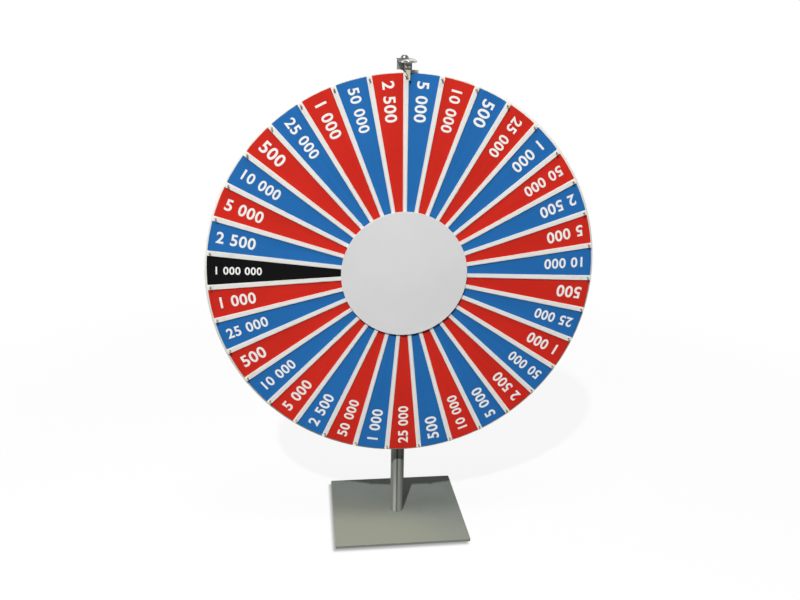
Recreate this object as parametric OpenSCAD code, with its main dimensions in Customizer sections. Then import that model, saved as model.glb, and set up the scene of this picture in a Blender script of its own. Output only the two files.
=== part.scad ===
// Spinning prize wheel on a post.
// Wedge panels slide between I-section dividers on a round board with a half-round edging. The
// board turns on two ball bearings on an axle bolted through the post. Pegs in the dividers flick
// a soft flapper that hangs from an arm on the post's top.
// Millimetres, +Z up, the wheel faces -Y, origin on the floor below the post's axis.

/* [Base] */
// Width of the base plate, side to side
base_w = 330; // [280:1:420]
// Depth of the base plate, front to back
base_d = 310; // [280:1:400]
// Thickness of the base plate
base_t = 6; // [4:0.5:12]
// Corner radius of the base plate
base_corner_r = 4; // [1:0.5:15]
// Diameter of a rubber foot
foot_d = 26; // [15:1:40]
// Height of a rubber foot
foot_h = 2; // [1:0.5:6]
// Distance of a foot's centre from the plate's edges
foot_inset = 24; // [22:1:60]

/* [Post] */
// Outside diameter of the post tube
post_d = 33.7; // [30:0.1:45]
// Wall of the post tube
post_wall = 2.6; // [1.5:0.1:4]
// Height of the wheel's axis above the base plate
axis_h = 650; // [560:1:900]
// Gap between the rim and the pointer arm above it
rim_gap = 19.5; // [16:0.5:40]
// Length of the threaded plugs in the post's ends
plug_len = 30; // [20:1:60]
// Thread of the bolts that go into the plugs
post_bolt_d = 10; // [8:1:12]

/* [Wheel board] */
// Diameter of the wheel
wheel_d = 900; // [800:1:1000]
// Thickness of the board
board_t = 12; // [9:0.5:13]

/* [Panels] */
// Number of panels round the wheel
panel_count = 35; // [24:1:40]
// Place of the black panel, counted clockwise from the pointer
black_place = 27; // [1:1:40]
// Thickness of a panel
panel_t = 3; // [2:0.5:5]
// Distance of the panels' outer ends from the rim
rim_margin = 7; // [6:0.5:12]
// Clearance of a panel in its slot
panel_fit = 0.4; // [0.2:0.1:1]

/* [Dividers] */
// Width of a divider's cap at the rim
cap_w_rim = 11.5; // [9:0.5:16]
// Width of a divider's cap where the cover starts
cap_w_cover = 9; // [7.5:0.5:12]
// Thickness of a divider's cap
cap_t = 2; // [1.5:0.5:5]
// Thickness of a divider's base, which lifts the panels off the board
divider_base_t = 2; // [1:0.5:4]
// Width of the web between two panels
web_w = 5; // [4.4:0.1:6]
// Set-back of a divider's end from the rim
divider_set_back = 6; // [6:0.5:8]
// Thread of the screw at a divider's inner end
divider_screw_d = 3; // [2.5:0.5:3.5]
// Length of that screw in the board
divider_screw_depth = 8; // [5:0.5:8]

/* [Pegs] */
// Diameter of a peg
peg_d = 4; // [3:0.1:4.4]
// Length of a peg in front of its divider
peg_len = 9; // [8:0.5:14]
// Depth of a peg in the board
peg_depth = 7; // [4:0.5:8]
// Distance of the peg circle from the rim
peg_inset = 13; // [10:0.5:18]

/* [Cover] */
// Diameter of the cover disc over the hub
cover_d = 290; // [250:1:330]
// Thickness of the cover disc
cover_t = 4; // [3:0.5:8]
// Gap behind the cover disc
cover_gap = 1; // [0.5:0.1:3]
// Outside diameter of the ring that carries the cover disc
ring_d = 240; // [225:1:245]
// Inside diameter of that ring
ring_bore = 108; // [106:1:112]

/* [Hub] */
// Outside diameter of the hub's barrel
hub_d = 48; // [44:1:54]
// Length of the barrel behind the board
hub_rear_len = 21; // [18:1:40]
// Diameter of the hub's flange
flange_d = 120; // [112:1:140]
// Thickness of the hub's flange
flange_t = 6; // [4:0.5:10]
// Bolt circle of the hub's flange
hub_bolt_circle = 92; // [84:1:92]
// Number of hub bolts
hub_bolt_count = 6; // [3:1:8]
// Thread of a hub bolt
hub_bolt_d = 6; // [5:1:6]

/* [Bearings] */
// Bore of a ball bearing
bearing_bore = 15; // [12:1:15]
// Outside diameter of a ball bearing
bearing_od = 35; // [35:1:40]
// Width of a ball bearing
bearing_w = 11; // [9:0.5:14]
// Number of balls in a bearing
ball_count = 8; // [6:1:8]
// Diameter of a ball
ball_d = 6; // [5:0.1:6]

/* [Axle] */
// Diameter of the axle's collar
collar_d = 20; // [18:0.5:22]
// Thickness of the axle's collar
collar_t = 4; // [3:0.5:10]
// Thread of the axle's tail through the post
tail_d = 12; // [8:1:12]
// Width of a saddle washer, across the post
saddle_w = 26; // [24:1:28]
// Thickness of a saddle washer at the post's face
saddle_t = 6.15; // [4:0.05:12]
// Thread of the bolt in the axle's front end
end_bolt_d = 8; // [6:1:8]

/* [Pointer] */
// Width of the pointer arm
arm_w = 36; // [30:1:45]
// Thickness of the pointer arm
arm_t = 4; // [4:0.5:8]
// Angle by which the arm slopes down toward its tip
arm_slope = 5; // [0:0.5:5]
// Reach of the arm's tip beyond the flapper
arm_overhang = 14.5; // [10:0.5:25]
// Gap between the dividers and the flapper
flapper_gap = 4.5; // [4.5:0.1:6]
// Thickness of the flapper
flapper_t = 3; // [1.5:0.1:4]
// Sideways place of the flapper, its clamp and its bracket
flapper_x = -2.5; // [-4:0.1:0]
// Width of the flapper's clamped head
flapper_head_w = 12; // [11.5:0.5:13]
// Width of the flapper's tongue below its clamp
flapper_neck_w = 10.5; // [8:0.5:11.5]
// Radius of the flapper's tip
flapper_tip_r = 1.1; // [0.6:0.1:2]
// Reach of the flapper's tip inside the peg circle
flapper_reach = 9.5; // [6:0.5:14]
// Distance of the clamp's lower edge from the peg circle
clamp_clear = 14; // [13.5:0.5:16]
// Gap between the flapper and the peg that rests against it
rest_gap = 0.3; // [0.3:0.1:2]
// Sheet thickness of the flapper's bracket
bracket_t = 2.5; // [2:0.1:4]
// Width of the flapper's bracket
bracket_w = 14; // [13:1:20]
// Length of the bracket's leg under the arm
bracket_leg = 20; // [18:0.5:26]
// Thickness of the clamp plate
clamp_t = 2; // [1.5:0.1:3]
// Distance between the two clamp screws
clamp_screw_gap = 6.5; // [6.5:0.1:7]
// Thread of a clamp screw
clamp_screw_d = 3; // [2.5:0.5:3.5]
// Thread of the screw that holds the bracket
bracket_screw_d = 5; // [4:0.5:5]

/* [Hidden] */
$fn = 72;

// Clearances
thread_fit = 0.05;
slip_fit = 0.2;
seat_fit = 0.1;
race_gap = 0.1;
glue_gap = 0.15;
cut = 1;

// Proportions of standard fasteners, as multiples of the thread
hex_across = 1.7;
hex_head_h = 0.64;
hex_nut_h = 0.8;
button_d = 1.75;
button_h = 0.55;
countersunk_d = 2;
washer_d = 2;
thread_end = 2;

// Heights
plate_top = foot_h + base_t;
axis_z = plate_top + axis_h;
wheel_r = wheel_d / 2;
post_r = post_d / 2;
post_bore_r = post_r - post_wall;
post_top = axis_z + wheel_r + rim_gap;

// Depths, from the post forward to the cover
saddle_face = post_r + saddle_t;
hub_rear = -(saddle_face + collar_t);
board_back = hub_rear - hub_rear_len;
board_front = board_back - board_t;
hub_recess = 1;
hub_front = board_front + hub_recess;
panel_back = board_front - divider_base_t;
panel_front = panel_back - panel_t;
cap_back = panel_front - panel_fit;
cap_front = cap_back - cap_t;
end_washer_t = 2;
end_bolt_front = hub_front - end_washer_t - end_bolt_d * button_h;
hub_head_front = board_front - hub_bolt_d * hex_head_h;
cover_back = min(cap_front, end_bolt_front, hub_head_front) - cover_gap;
cover_front = cover_back - cover_t;

// Radii on the wheel
edging_r = board_t / 2;
board_r = wheel_r - edging_r - glue_gap;
panel_out_r = wheel_r - rim_margin;
peg_r = wheel_r - peg_inset;
divider_out_r = wheel_r - divider_set_back;
ring_clear = 1;
divider_in_r = ring_d / 2 + ring_clear;
panel_in_r = ring_d / 2 + ring_clear;
divider_screw_inset = 10;
divider_screw_r = divider_in_r + divider_screw_inset;
pitch = 360 / panel_count;

// Bearings
ball_ring_r = (bearing_bore + bearing_od) / 4;
groove_r = ball_d / 2 + race_gap;
race_land = ball_d / 3;
shoulder_r = ball_ring_r + race_land;
bearing_ys = [hub_rear - bearing_w, hub_front];

// Axle and its nuts
axle_end_gap = 0.5;
axle_front = hub_front + axle_end_gap;
axle_nut_h = tail_d * hex_nut_h;
axle_end = saddle_face + axle_nut_h + thread_end;
saddle_wrap = 6;
end_bolt_len = 18;

// Foot bolt, whose head stays inside the plate
foot_head_land = 1;
foot_head_d = min(countersunk_d * post_bolt_d, post_bolt_d + 2 * (base_t - foot_head_land));
foot_head_h = (foot_head_d - post_bolt_d) / 2;
plug_r = post_bore_r - seat_fit;

// Pointer
flapper_back = cap_front - flapper_gap;
flapper_front = flapper_back - flapper_t;
clamp_front = flapper_front - clamp_t;
bracket_back = flapper_back + bracket_t;
arm_tip = flapper_front - arm_overhang;
arm_washer_t = 1.5;
arm_bend_y = -arm_w / 2;
// Height of the arm's underside from the post's top
function arm_under(y) = -max(arm_bend_y - y, 0) * tan(arm_slope);

// Bracket, which follows the arm's slope and then turns down; its heights start at the post's top
bracket_r = 3;
bracket_bend = bracket_r + bracket_t;
bracket_bend_y = flapper_back + bracket_bend;
bracket_bend_z = arm_under(bracket_bend_y - bracket_bend * sin(arm_slope))
    - bracket_bend * cos(arm_slope);
bracket_end_y = flapper_back + bracket_leg;
bracket_screw_y = (bracket_back + bracket_end_y) / 2;

// Clamp and flapper
clamp_low = axis_z + peg_r + clamp_clear;
bend_clear = 1;
clamp_high = post_top + arm_under(clamp_front) - bend_clear;
clamp_screw_z = (clamp_low + post_top + bracket_bend_z) / 2;
shoulder_h = 2;
neck_z = clamp_low - shoulder_h;
flapper_tip_z = axis_z + peg_r - flapper_reach;
flapper_left = flapper_x - flapper_head_w / 2;
flapper_right = flapper_x + flapper_head_w / 2;

// Slanting edge of the tongue, on the side of the peg that rests beside it
tongue_low_z = flapper_tip_z + flapper_tip_r;
tongue_slope = (flapper_neck_w - 2 * flapper_tip_r) / (neck_z - tongue_low_z);
function tongue_left(z) = flapper_right - 2 * flapper_tip_r - tongue_slope * (z - tongue_low_z);

// The wheel rests with a peg beside the flapper
rest_angle = asin((tongue_left(axis_z + peg_r)
    - (peg_d / 2 + rest_gap) / cos(atan(tongue_slope))) / peg_r);

// Panels go blue and red in turn, and go on after the black one
black_index = (black_place - 1) % panel_count;
function panel_colour(i) =
    i == black_index ? "black"
    : (i < black_index ? i : i - 1) % 2 == 0 ? "blue" : "red";

function arc(r, a0, a1, steps) = [for (i = [0:steps])
    r * [cos(a0 + (a1 - a0) * i / steps), sin(a0 + (a1 - a0) * i / steps)]];

function moved(points, by) = [for (p = points) p + by];

// Cylinder on an axis along Y at the wheel's height, from depth y0 back to depth y1
module y_rod(r, y0, y1, r_front) {
    translate([0, y1, axis_z]) rotate([90, 0, 0])
        cylinder(r1 = r, r2 = is_undef(r_front) ? r : r_front, h = y1 - y0);
}

// Ring on the wheel's axis
module y_ring(r_out, r_in, y0, y1) {
    difference() {
        y_rod(r_out, y0, y1);
        y_rod(r_in, y0 - cut, y1 + cut);
    }
}

// Outline drawn in X and Z, extruded from depth y0 back to depth y1
module upright(y0, y1) {
    translate([0, y1, 0]) rotate([90, 0, 0]) linear_extrude(y1 - y0) children();
}

// Turns what is drawn along +Z from the wheel's axis to an angle clockwise from the top
module on_wheel(a) {
    translate([0, 0, axis_z]) rotate([0, rest_angle + a, 0]) translate([0, 0, -axis_z]) children();
}

module hub_pattern() {
    for (i = [0:hub_bolt_count - 1])
        on_wheel(i * 360 / hub_bolt_count) translate([0, 0, hub_bolt_circle / 2]) children();
}

module divider_pattern() {
    for (i = [0:panel_count - 1]) on_wheel(i * pitch) children();
}

// Rod at a radius from the wheel's axis, for pegs, bolts and their holes
module rod_at(radius, r, y0, y1, r_front) {
    translate([0, 0, radius]) y_rod(r, y0, y1, r_front);
}

// Hexagon of a bolt head or nut of thread d, along Y
module y_hex(d, y0, y1) {
    translate([0, y1, axis_z]) rotate([90, 30, 0])
        cylinder(d = hex_across * d / cos(30), h = y1 - y0, $fn = 6);
}

// Button head of thread d, upward from zero
module button(d) {
    rotate_extrude() polygon([[0, 0], [button_d * d / 2, 0], [button_d * d / 2, button_h * d * 0.35],
        [button_d * d * 0.38, button_h * d * 0.8], [button_d * d * 0.2, button_h * d],
        [0, button_h * d]]);
}

// Button head of thread d, whose flat side is at depth y
module y_button(d, y) {
    translate([0, y, axis_z]) rotate([90, 0, 0]) button(d);
}

module z_hex(d, z, h) {
    translate([0, 0, z]) cylinder(d = hex_across * d / cos(30), h = h, $fn = 6);
}

module at_feet() {
    for (x = [-1, 1], y = [-1, 1])
        translate([x * (base_w / 2 - foot_inset), y * (base_d / 2 - foot_inset), 0]) children();
}

// Steel plate with rounded corners and a countersunk hole for the post
module base_plate() {
    color("darkgray") difference() {
        translate([0, 0, foot_h]) linear_extrude(base_t) {
            square([base_w - 2 * base_corner_r, base_d], center = true);
            square([base_w, base_d - 2 * base_corner_r], center = true);
            for (x = [-1, 1], y = [-1, 1])
                translate([x * (base_w / 2 - base_corner_r), y * (base_d / 2 - base_corner_r)])
                    circle(base_corner_r);
        }
        translate([0, 0, foot_h - cut]) cylinder(d = post_bolt_d + 2 * slip_fit, h = base_t + 2 * cut);
        translate([0, 0, foot_h])
            cylinder(d1 = foot_head_d + 2 * slip_fit, d2 = post_bolt_d + 2 * slip_fit, h = foot_head_h);
    }
}

module base_feet() {
    color("dimgray") at_feet() cylinder(d = foot_d, h = foot_h);
}

// One tube from the plate to the pointer arm, cross-drilled for the axle
module post_tube() {
    color("silver") difference() {
        translate([0, 0, plate_top]) cylinder(r = post_r, h = post_top - plate_top);
        translate([0, 0, plate_top - cut]) cylinder(r = post_bore_r, h = post_top - plate_top + 2 * cut);
        y_rod(tail_d / 2 + slip_fit, -post_r - cut, post_r + cut);
    }
}

module plug(z) {
    difference() {
        translate([0, 0, z]) cylinder(r = plug_r, h = plug_len);
        translate([0, 0, z - cut]) cylinder(d = post_bolt_d, h = plug_len + 2 * cut);
    }
}

module foot_plug() {
    color("gray") plug(plate_top);
}

module top_plug() {
    color("gray") plug(post_top - plug_len);
}

module foot_bolt() {
    color("dimgray") translate([0, 0, foot_h]) {
        cylinder(d1 = foot_head_d, d2 = post_bolt_d - 2 * thread_fit, h = foot_head_h);
        cylinder(d = post_bolt_d - 2 * thread_fit, h = base_t + plug_len - thread_end);
    }
}

// Bar with round ends, flat on the post's top and sloping down over the rim
module pointer_arm() {
    top_bend_y = arm_bend_y - arm_t * tan(arm_slope / 2);
    rise = arm_t / cos(arm_slope);
    color("lightgray") difference() {
        translate([0, 0, post_top]) intersection() {
            translate([0, 0, arm_under(arm_tip) - cut])
                linear_extrude(arm_t - arm_under(arm_tip) + 2 * cut) {
                    circle(d = arm_w);
                    translate([0, arm_tip + arm_w / 2]) circle(d = arm_w);
                    translate([-arm_w / 2, arm_tip + arm_w / 2]) square([arm_w, -arm_tip - arm_w / 2]);
                }
            translate([-arm_w / 2 - cut, 0, 0]) rotate([90, 0, 90]) linear_extrude(arm_w + 2 * cut)
                polygon([[arm_w / 2 + cut, 0], [arm_w / 2 + cut, arm_t],
                    [top_bend_y, arm_t], [arm_tip - cut, arm_under(arm_tip - cut) + rise],
                    [arm_tip - cut, arm_under(arm_tip - cut)], [arm_bend_y, 0]]);
        }
        translate([0, 0, post_top - cut]) cylinder(d = post_bolt_d + 2 * slip_fit, h = arm_t + 2 * cut);
        at_bracket_screw() bracket_screw_hole(arm_t);
    }
}

// Puts zero on the arm's underside at the bracket's screw, square to the slope
module at_bracket_screw() {
    translate([0, 0, post_top])
        translate([flapper_x, bracket_screw_y, arm_under(bracket_screw_y)])
            rotate([arm_slope, 0, 0]) children();
}

// Countersunk hole down through a plate whose underside is at zero
module bracket_screw_hole(t) {
    head_h = bracket_screw_d * (countersunk_d - 1) / 2;
    translate([0, 0, -cut]) cylinder(d = bracket_screw_d + 2 * slip_fit, h = t + 2 * cut);
    translate([0, 0, t - head_h])
        cylinder(d1 = bracket_screw_d + 2 * slip_fit,
            d2 = bracket_screw_d * countersunk_d + 2 * slip_fit, h = head_h);
}

module arm_washer() {
    color("silver") difference() {
        translate([0, 0, post_top + arm_t]) cylinder(d = washer_d * post_bolt_d, h = arm_washer_t);
        translate([0, 0, post_top + arm_t - cut])
            cylinder(d = post_bolt_d + 2 * slip_fit, h = arm_washer_t + 2 * cut);
    }
}

module arm_bolt() {
    color("silver") {
        translate([0, 0, post_top + arm_t + arm_washer_t]) button(post_bolt_d);
        translate([0, 0, post_top - plug_len + thread_end])
            cylinder(d = post_bolt_d - 2 * thread_fit, h = plug_len - thread_end + arm_t + arm_washer_t);
    }
}

// Bent strip under the arm, with a front leg that backs the flapper
module flapper_bracket() {
    outer = moved(arc(bracket_bend, 90 + arm_slope, 180, 6), [bracket_bend_y, bracket_bend_z]);
    inner = moved(arc(bracket_r, 180, 90 + arm_slope, 6), [bracket_bend_y, bracket_bend_z]);
    end = [bracket_end_y, arm_under(bracket_end_y)];
    low = clamp_low - post_top;
    color("gray") difference() {
        translate([flapper_x - bracket_w / 2, 0, post_top]) rotate([90, 0, 90]) linear_extrude(bracket_w)
            polygon(concat([end], outer, [[flapper_back, low], [bracket_back, low]], inner,
                [end + bracket_t * [sin(arm_slope), -cos(arm_slope)]]));
        at_bracket_screw() translate([0, 0, -bracket_t - cut])
            cylinder(d = bracket_screw_d + 2 * slip_fit, h = bracket_t + 2 * cut);
        clamp_screw_holes(flapper_back, bracket_back);
    }
}

module bracket_screw() {
    head_h = bracket_screw_d * (countersunk_d - 1) / 2;
    low = -bracket_t - bracket_screw_d * hex_nut_h - thread_end;
    color("silver") at_bracket_screw() {
        translate([0, 0, arm_t - head_h])
            cylinder(d1 = bracket_screw_d - 2 * thread_fit, d2 = bracket_screw_d * countersunk_d, h = head_h);
        translate([0, 0, low]) cylinder(d = bracket_screw_d - 2 * thread_fit, h = arm_t - low);
    }
}

module bracket_nut() {
    nut_h = bracket_screw_d * hex_nut_h;
    color("silver") at_bracket_screw() translate([0, 0, -bracket_t - nut_h]) difference() {
        z_hex(bracket_screw_d, 0, nut_h);
        translate([0, 0, -cut]) cylinder(d = bracket_screw_d, h = nut_h + 2 * cut);
    }
}

module clamp_screw_places() {
    for (x = [-1, 1])
        translate([flapper_x + x * clamp_screw_gap / 2, 0, clamp_screw_z - axis_z]) children();
}

module clamp_screw_holes(y0, y1) {
    clamp_screw_places() y_rod(clamp_screw_d / 2 + slip_fit, y0 - cut, y1 + cut);
}

module clamp_plate() {
    color("silver") difference() {
        upright(clamp_front, flapper_front)
            translate([flapper_left, clamp_low]) square([flapper_head_w, clamp_high - clamp_low]);
        clamp_screw_holes(clamp_front, flapper_front);
    }
}

module clamp_screws() {
    clamp_end = bracket_back + clamp_screw_d * hex_nut_h + thread_end;
    color("silver") clamp_screw_places() {
        y_button(clamp_screw_d, clamp_front);
        y_rod(clamp_screw_d / 2 - thread_fit, clamp_front, clamp_end);
    }
}

module clamp_nuts() {
    nut_h = clamp_screw_d * hex_nut_h;
    color("silver") clamp_screw_places() difference() {
        y_hex(clamp_screw_d, bracket_back, bracket_back + nut_h);
        y_rod(clamp_screw_d / 2, bracket_back - cut, bracket_back + nut_h + cut);
    }
}

// Soft tongue: a clamped head with two holes, one straight edge, one slanting to a round tip
module flapper() {
    tip = moved(arc(flapper_tip_r, 180, 360, 8), [flapper_right - flapper_tip_r, tongue_low_z]);
    color("tan") difference() {
        upright(flapper_front, flapper_back)
            polygon(concat([[flapper_left, clamp_high], [flapper_left, clamp_low],
                [tongue_left(neck_z), neck_z]], tip, [[flapper_right, clamp_high]]));
        clamp_screw_holes(flapper_front, flapper_back);
    }
}

// Shaft with a collar, a tapped front end, and a threaded tail that goes through the post
module axle() {
    color("gainsboro") difference() {
        union() {
            y_rod(bearing_bore / 2 - thread_fit, axle_front, hub_rear);
            y_rod(collar_d / 2, hub_rear, -saddle_face);
            y_rod(tail_d / 2 - thread_fit, -saddle_face, axle_end);
        }
        y_rod(end_bolt_d / 2, axle_front - cut, axle_front + end_bolt_len);
    }
}

// Block with a hollow that seats on the tube, in front of it or behind it
module saddle(side) {
    mirror([0, side < 0 ? 0 : 1, 0]) difference() {
        translate([-saddle_w / 2, -saddle_face, axis_z - saddle_w / 2])
            cube([saddle_w, saddle_t + saddle_wrap, saddle_w]);
        translate([0, 0, axis_z - saddle_w / 2 - cut])
            cylinder(r = post_r + seat_fit, h = saddle_w + 2 * cut);
        y_rod(tail_d / 2 + slip_fit, -saddle_face - cut, 0);
    }
}

module front_saddle() {
    color("darkgray") saddle(-1);
}

module rear_saddle() {
    color("darkgray") saddle(1);
}

module axle_nut() {
    color("silver") difference() {
        y_hex(tail_d, saddle_face, saddle_face + axle_nut_h);
        y_rod(tail_d / 2, saddle_face - cut, saddle_face + axle_nut_h + cut);
    }
}

// Groove for the balls, round the wheel's axis
module ball_groove(y) {
    translate([0, y + bearing_w / 2, axis_z]) rotate([90, 0, 0])
        rotate_extrude() translate([ball_ring_r, 0]) circle(groove_r);
}

module bearing_inner_rings() {
    color("silver") for (y = bearing_ys) difference() {
        y_ring(ball_ring_r - race_land, bearing_bore / 2, y, y + bearing_w);
        ball_groove(y);
    }
}

module bearing_outer_rings() {
    color("silver") for (y = bearing_ys) difference() {
        y_ring(bearing_od / 2 - thread_fit, shoulder_r, y, y + bearing_w);
        ball_groove(y);
    }
}

module bearing_balls() {
    color("white") for (y = bearing_ys, i = [0:ball_count - 1])
        translate([0, y + bearing_w / 2, axis_z]) rotate([0, i * 360 / ball_count, 0])
            translate([0, 0, ball_ring_r]) sphere(d = ball_d);
}

module bearing_spacer() {
    color("silver")
        y_ring(ball_ring_r - race_land, bearing_bore / 2, hub_front + bearing_w, hub_rear - bearing_w);
}

module end_washer() {
    color("silver")
        y_ring(ball_ring_r - race_land, end_bolt_d / 2 + slip_fit, hub_front - end_washer_t, hub_front);
}

module end_bolt() {
    head_y = hub_front - end_washer_t;
    color("silver") {
        y_button(end_bolt_d, head_y);
        y_rod(end_bolt_d / 2 - thread_fit, head_y, axle_front + end_bolt_len - thread_end);
    }
}

// Round board, drilled for the hub, its bolts, the pegs and the dividers' screws
module wheel_board() {
    color("white") difference() {
        y_rod(board_r, board_front, board_back);
        y_rod(hub_d / 2 + slip_fit, board_front - cut, board_back + cut);
        hub_pattern() y_rod(hub_bolt_d / 2 + slip_fit, board_front - cut, board_back + cut);
        divider_pattern() {
            rod_at(peg_r, peg_d / 2, board_front - cut, board_front + peg_depth);
            rod_at(divider_screw_r, divider_screw_d / 2, board_front - cut,
                board_front + divider_screw_depth);
        }
    }
}

// Half-round strip round the board's edge
module rim_edging() {
    color("whitesmoke") translate([0, board_front + edging_r, axis_z]) rotate([90, 0, 0])
        rotate_extrude() translate([wheel_r - edging_r, 0]) intersection() {
            circle(edging_r);
            translate([0, -edging_r]) square([edging_r, 2 * edging_r]);
        }
}

// Half width of a divider's cap at a radius
function cap_half(r) = (cap_w_cover
    + (cap_w_rim - cap_w_cover) * (r - cover_d / 2) / (divider_out_r - cover_d / 2)) / 2;

// Tapered outline of a divider's cap and base
module divider_outline() {
    polygon([[-cap_half(divider_in_r), divider_in_r], [cap_half(divider_in_r), divider_in_r],
        [cap_half(divider_out_r), divider_out_r], [-cap_half(divider_out_r), divider_out_r]]);
}

// I-section: a web between two panels, with a base behind their edges and a cap over them
module divider() {
    screw_head_h = divider_screw_d * (countersunk_d - 1) / 2;
    difference() {
        translate([0, 0, axis_z]) {
            upright(cap_front, cap_back) divider_outline();
            upright(cap_back, panel_back)
                translate([-web_w / 2, divider_in_r]) square([web_w, divider_out_r - divider_in_r]);
            upright(panel_back, board_front) divider_outline();
        }
        rod_at(peg_r, peg_d / 2 + thread_fit, cap_front - cut, board_front + cut);
        rod_at(divider_screw_r, divider_screw_d / 2 + slip_fit, cap_front - cut, board_front + cut);
        rod_at(divider_screw_r, divider_screw_d / 2 + slip_fit, cap_front, cap_front + screw_head_h,
            divider_screw_d * countersunk_d / 2 + slip_fit);
    }
}

module divider_strips() {
    color("white") divider_pattern() divider();
}

module divider_screws() {
    screw_head_h = divider_screw_d * (countersunk_d - 1) / 2;
    color("silver") divider_pattern() {
        rod_at(divider_screw_r, divider_screw_d / 2 - thread_fit, cap_front,
            board_front + divider_screw_depth);
        rod_at(divider_screw_r, divider_screw_d / 2 - thread_fit, cap_front, cap_front + screw_head_h,
            divider_screw_d * countersunk_d / 2);
    }
}

// Pins with a round end, through the dividers into the board
module pegs() {
    r = peg_d / 2 - thread_fit;
    peg_back = board_front + peg_depth;
    round_y = peg_back - (cap_front - peg_len) - r;
    color("silver") divider_pattern()
        translate([0, peg_back, axis_z + peg_r]) rotate([90, 0, 0])
            rotate_extrude() polygon(concat([[0, 0], [r, 0]], moved(arc(r, 0, 90, 6), [0, round_y])));
}

// Wedge between two dividers, whose sides run along their webs
module panel() {
    side = web_w / 2 + panel_fit;
    inner_half = panel_in_r * tan(pitch / 2) - side / cos(pitch / 2);
    reach = panel_out_r + cut;
    outer_half = reach * tan(pitch / 2) - side / cos(pitch / 2);
    intersection() {
        translate([0, 0, axis_z]) upright(panel_front, panel_back)
            polygon([[-inner_half, panel_in_r], [inner_half, panel_in_r],
                [outer_half, reach], [-outer_half, reach]]);
        y_rod(panel_out_r, panel_front - cut, panel_back + cut);
    }
}

module panels(name) {
    for (i = [0:panel_count - 1])
        if (panel_colour(i) == name) on_wheel((i + 0.5) * pitch) panel();
}

module red_panels() {
    color("firebrick") panels("red");
}

module blue_panels() {
    color("steelblue") panels("blue");
}

module black_panel() {
    color([0.1, 0.1, 0.1]) panels("black");
}

// Flanged housing for the two bearings, with a shoulder between them
module hub() {
    color("lightgray") difference() {
        union() {
            y_rod(hub_d / 2, hub_front, hub_rear);
            y_rod(flange_d / 2, board_back, board_back + flange_t);
        }
        y_rod(shoulder_r, hub_front - cut, hub_rear + cut);
        for (y = [[hub_front - cut, hub_front + bearing_w], [hub_rear - bearing_w, hub_rear + cut]])
            y_rod(bearing_od / 2, y[0], y[1]);
        hub_pattern() y_rod(hub_bolt_d / 2 + slip_fit, board_back - cut, board_back + flange_t + cut);
    }
}

module hub_bolts() {
    nut_h = hub_bolt_d * hex_nut_h;
    color("silver") hub_pattern() {
        y_hex(hub_bolt_d, hub_head_front, board_front);
        y_rod(hub_bolt_d / 2 - thread_fit, board_front, board_back + flange_t + nut_h + thread_end);
    }
}

module hub_nuts() {
    nut_y = board_back + flange_t;
    nut_h = hub_bolt_d * hex_nut_h;
    color("silver") hub_pattern() difference() {
        y_hex(hub_bolt_d, nut_y, nut_y + nut_h);
        y_rod(hub_bolt_d / 2, nut_y - cut, nut_y + nut_h + cut);
    }
}

// Ring glued to the board: it stops the panels and carries the cover disc
module cover_ring() {
    color("white") y_ring(ring_d / 2, ring_bore / 2, cover_back, board_front);
}

module cover_disc() {
    color("gainsboro") y_rod(cover_d / 2, cover_front, cover_back);
}

base_plate();
base_feet();
post_tube();
foot_plug();
foot_bolt();
top_plug();
pointer_arm();
arm_bolt();
arm_washer();
flapper_bracket();
bracket_screw();
bracket_nut();
clamp_plate();
clamp_screws();
clamp_nuts();
flapper();
axle();
front_saddle();
rear_saddle();
axle_nut();
bearing_inner_rings();
bearing_balls();
bearing_spacer();
end_washer();
end_bolt();
wheel_board();
rim_edging();
divider_strips();
divider_screws();
pegs();
red_panels();
blue_panels();
black_panel();
hub();
hub_bolts();
hub_nuts();
bearing_outer_rings();
cover_ring();
cover_disc();
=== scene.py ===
import math

import bmesh
import bpy
from mathutils import Matrix, Vector


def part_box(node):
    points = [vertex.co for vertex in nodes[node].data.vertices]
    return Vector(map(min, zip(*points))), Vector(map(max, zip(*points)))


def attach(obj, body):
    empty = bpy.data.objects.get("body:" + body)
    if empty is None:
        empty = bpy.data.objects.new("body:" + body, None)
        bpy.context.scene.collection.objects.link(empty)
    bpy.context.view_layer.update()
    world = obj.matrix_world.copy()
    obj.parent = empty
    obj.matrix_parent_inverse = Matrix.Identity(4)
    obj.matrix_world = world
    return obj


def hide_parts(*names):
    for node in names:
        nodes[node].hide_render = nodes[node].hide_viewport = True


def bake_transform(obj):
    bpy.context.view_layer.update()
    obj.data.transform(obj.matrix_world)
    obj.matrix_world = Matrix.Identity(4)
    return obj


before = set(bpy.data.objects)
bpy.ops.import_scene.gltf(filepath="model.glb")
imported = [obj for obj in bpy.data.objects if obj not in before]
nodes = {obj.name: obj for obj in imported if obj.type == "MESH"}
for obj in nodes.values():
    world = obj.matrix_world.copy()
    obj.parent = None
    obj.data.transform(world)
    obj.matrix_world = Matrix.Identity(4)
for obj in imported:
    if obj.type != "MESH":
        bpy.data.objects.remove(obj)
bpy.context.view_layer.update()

# Units, tolerances and the angles past which an edge is sharp
MM = 0.001
FULL_TURN = 2 * math.pi
WELD_DISTANCE = 0.001 * MM
CUT_TOLERANCE = 0.0001 * MM
SHARP_EDGE = math.radians(35)
SHARP_SHADING = math.radians(32)
ROUNDING_STEPS = 2

# Wheel, read from the frame
rim_low, rim_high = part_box("rim_edging")
AXIS_Z = (rim_low.z + rim_high.z) / 2
WHEEL_R = (rim_high.z - rim_low.z) / 2
PANEL_COUNT = 35
PITCH = FULL_TURN / PANEL_COUNT
PANEL_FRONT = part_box("red_panels")[0].y


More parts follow.
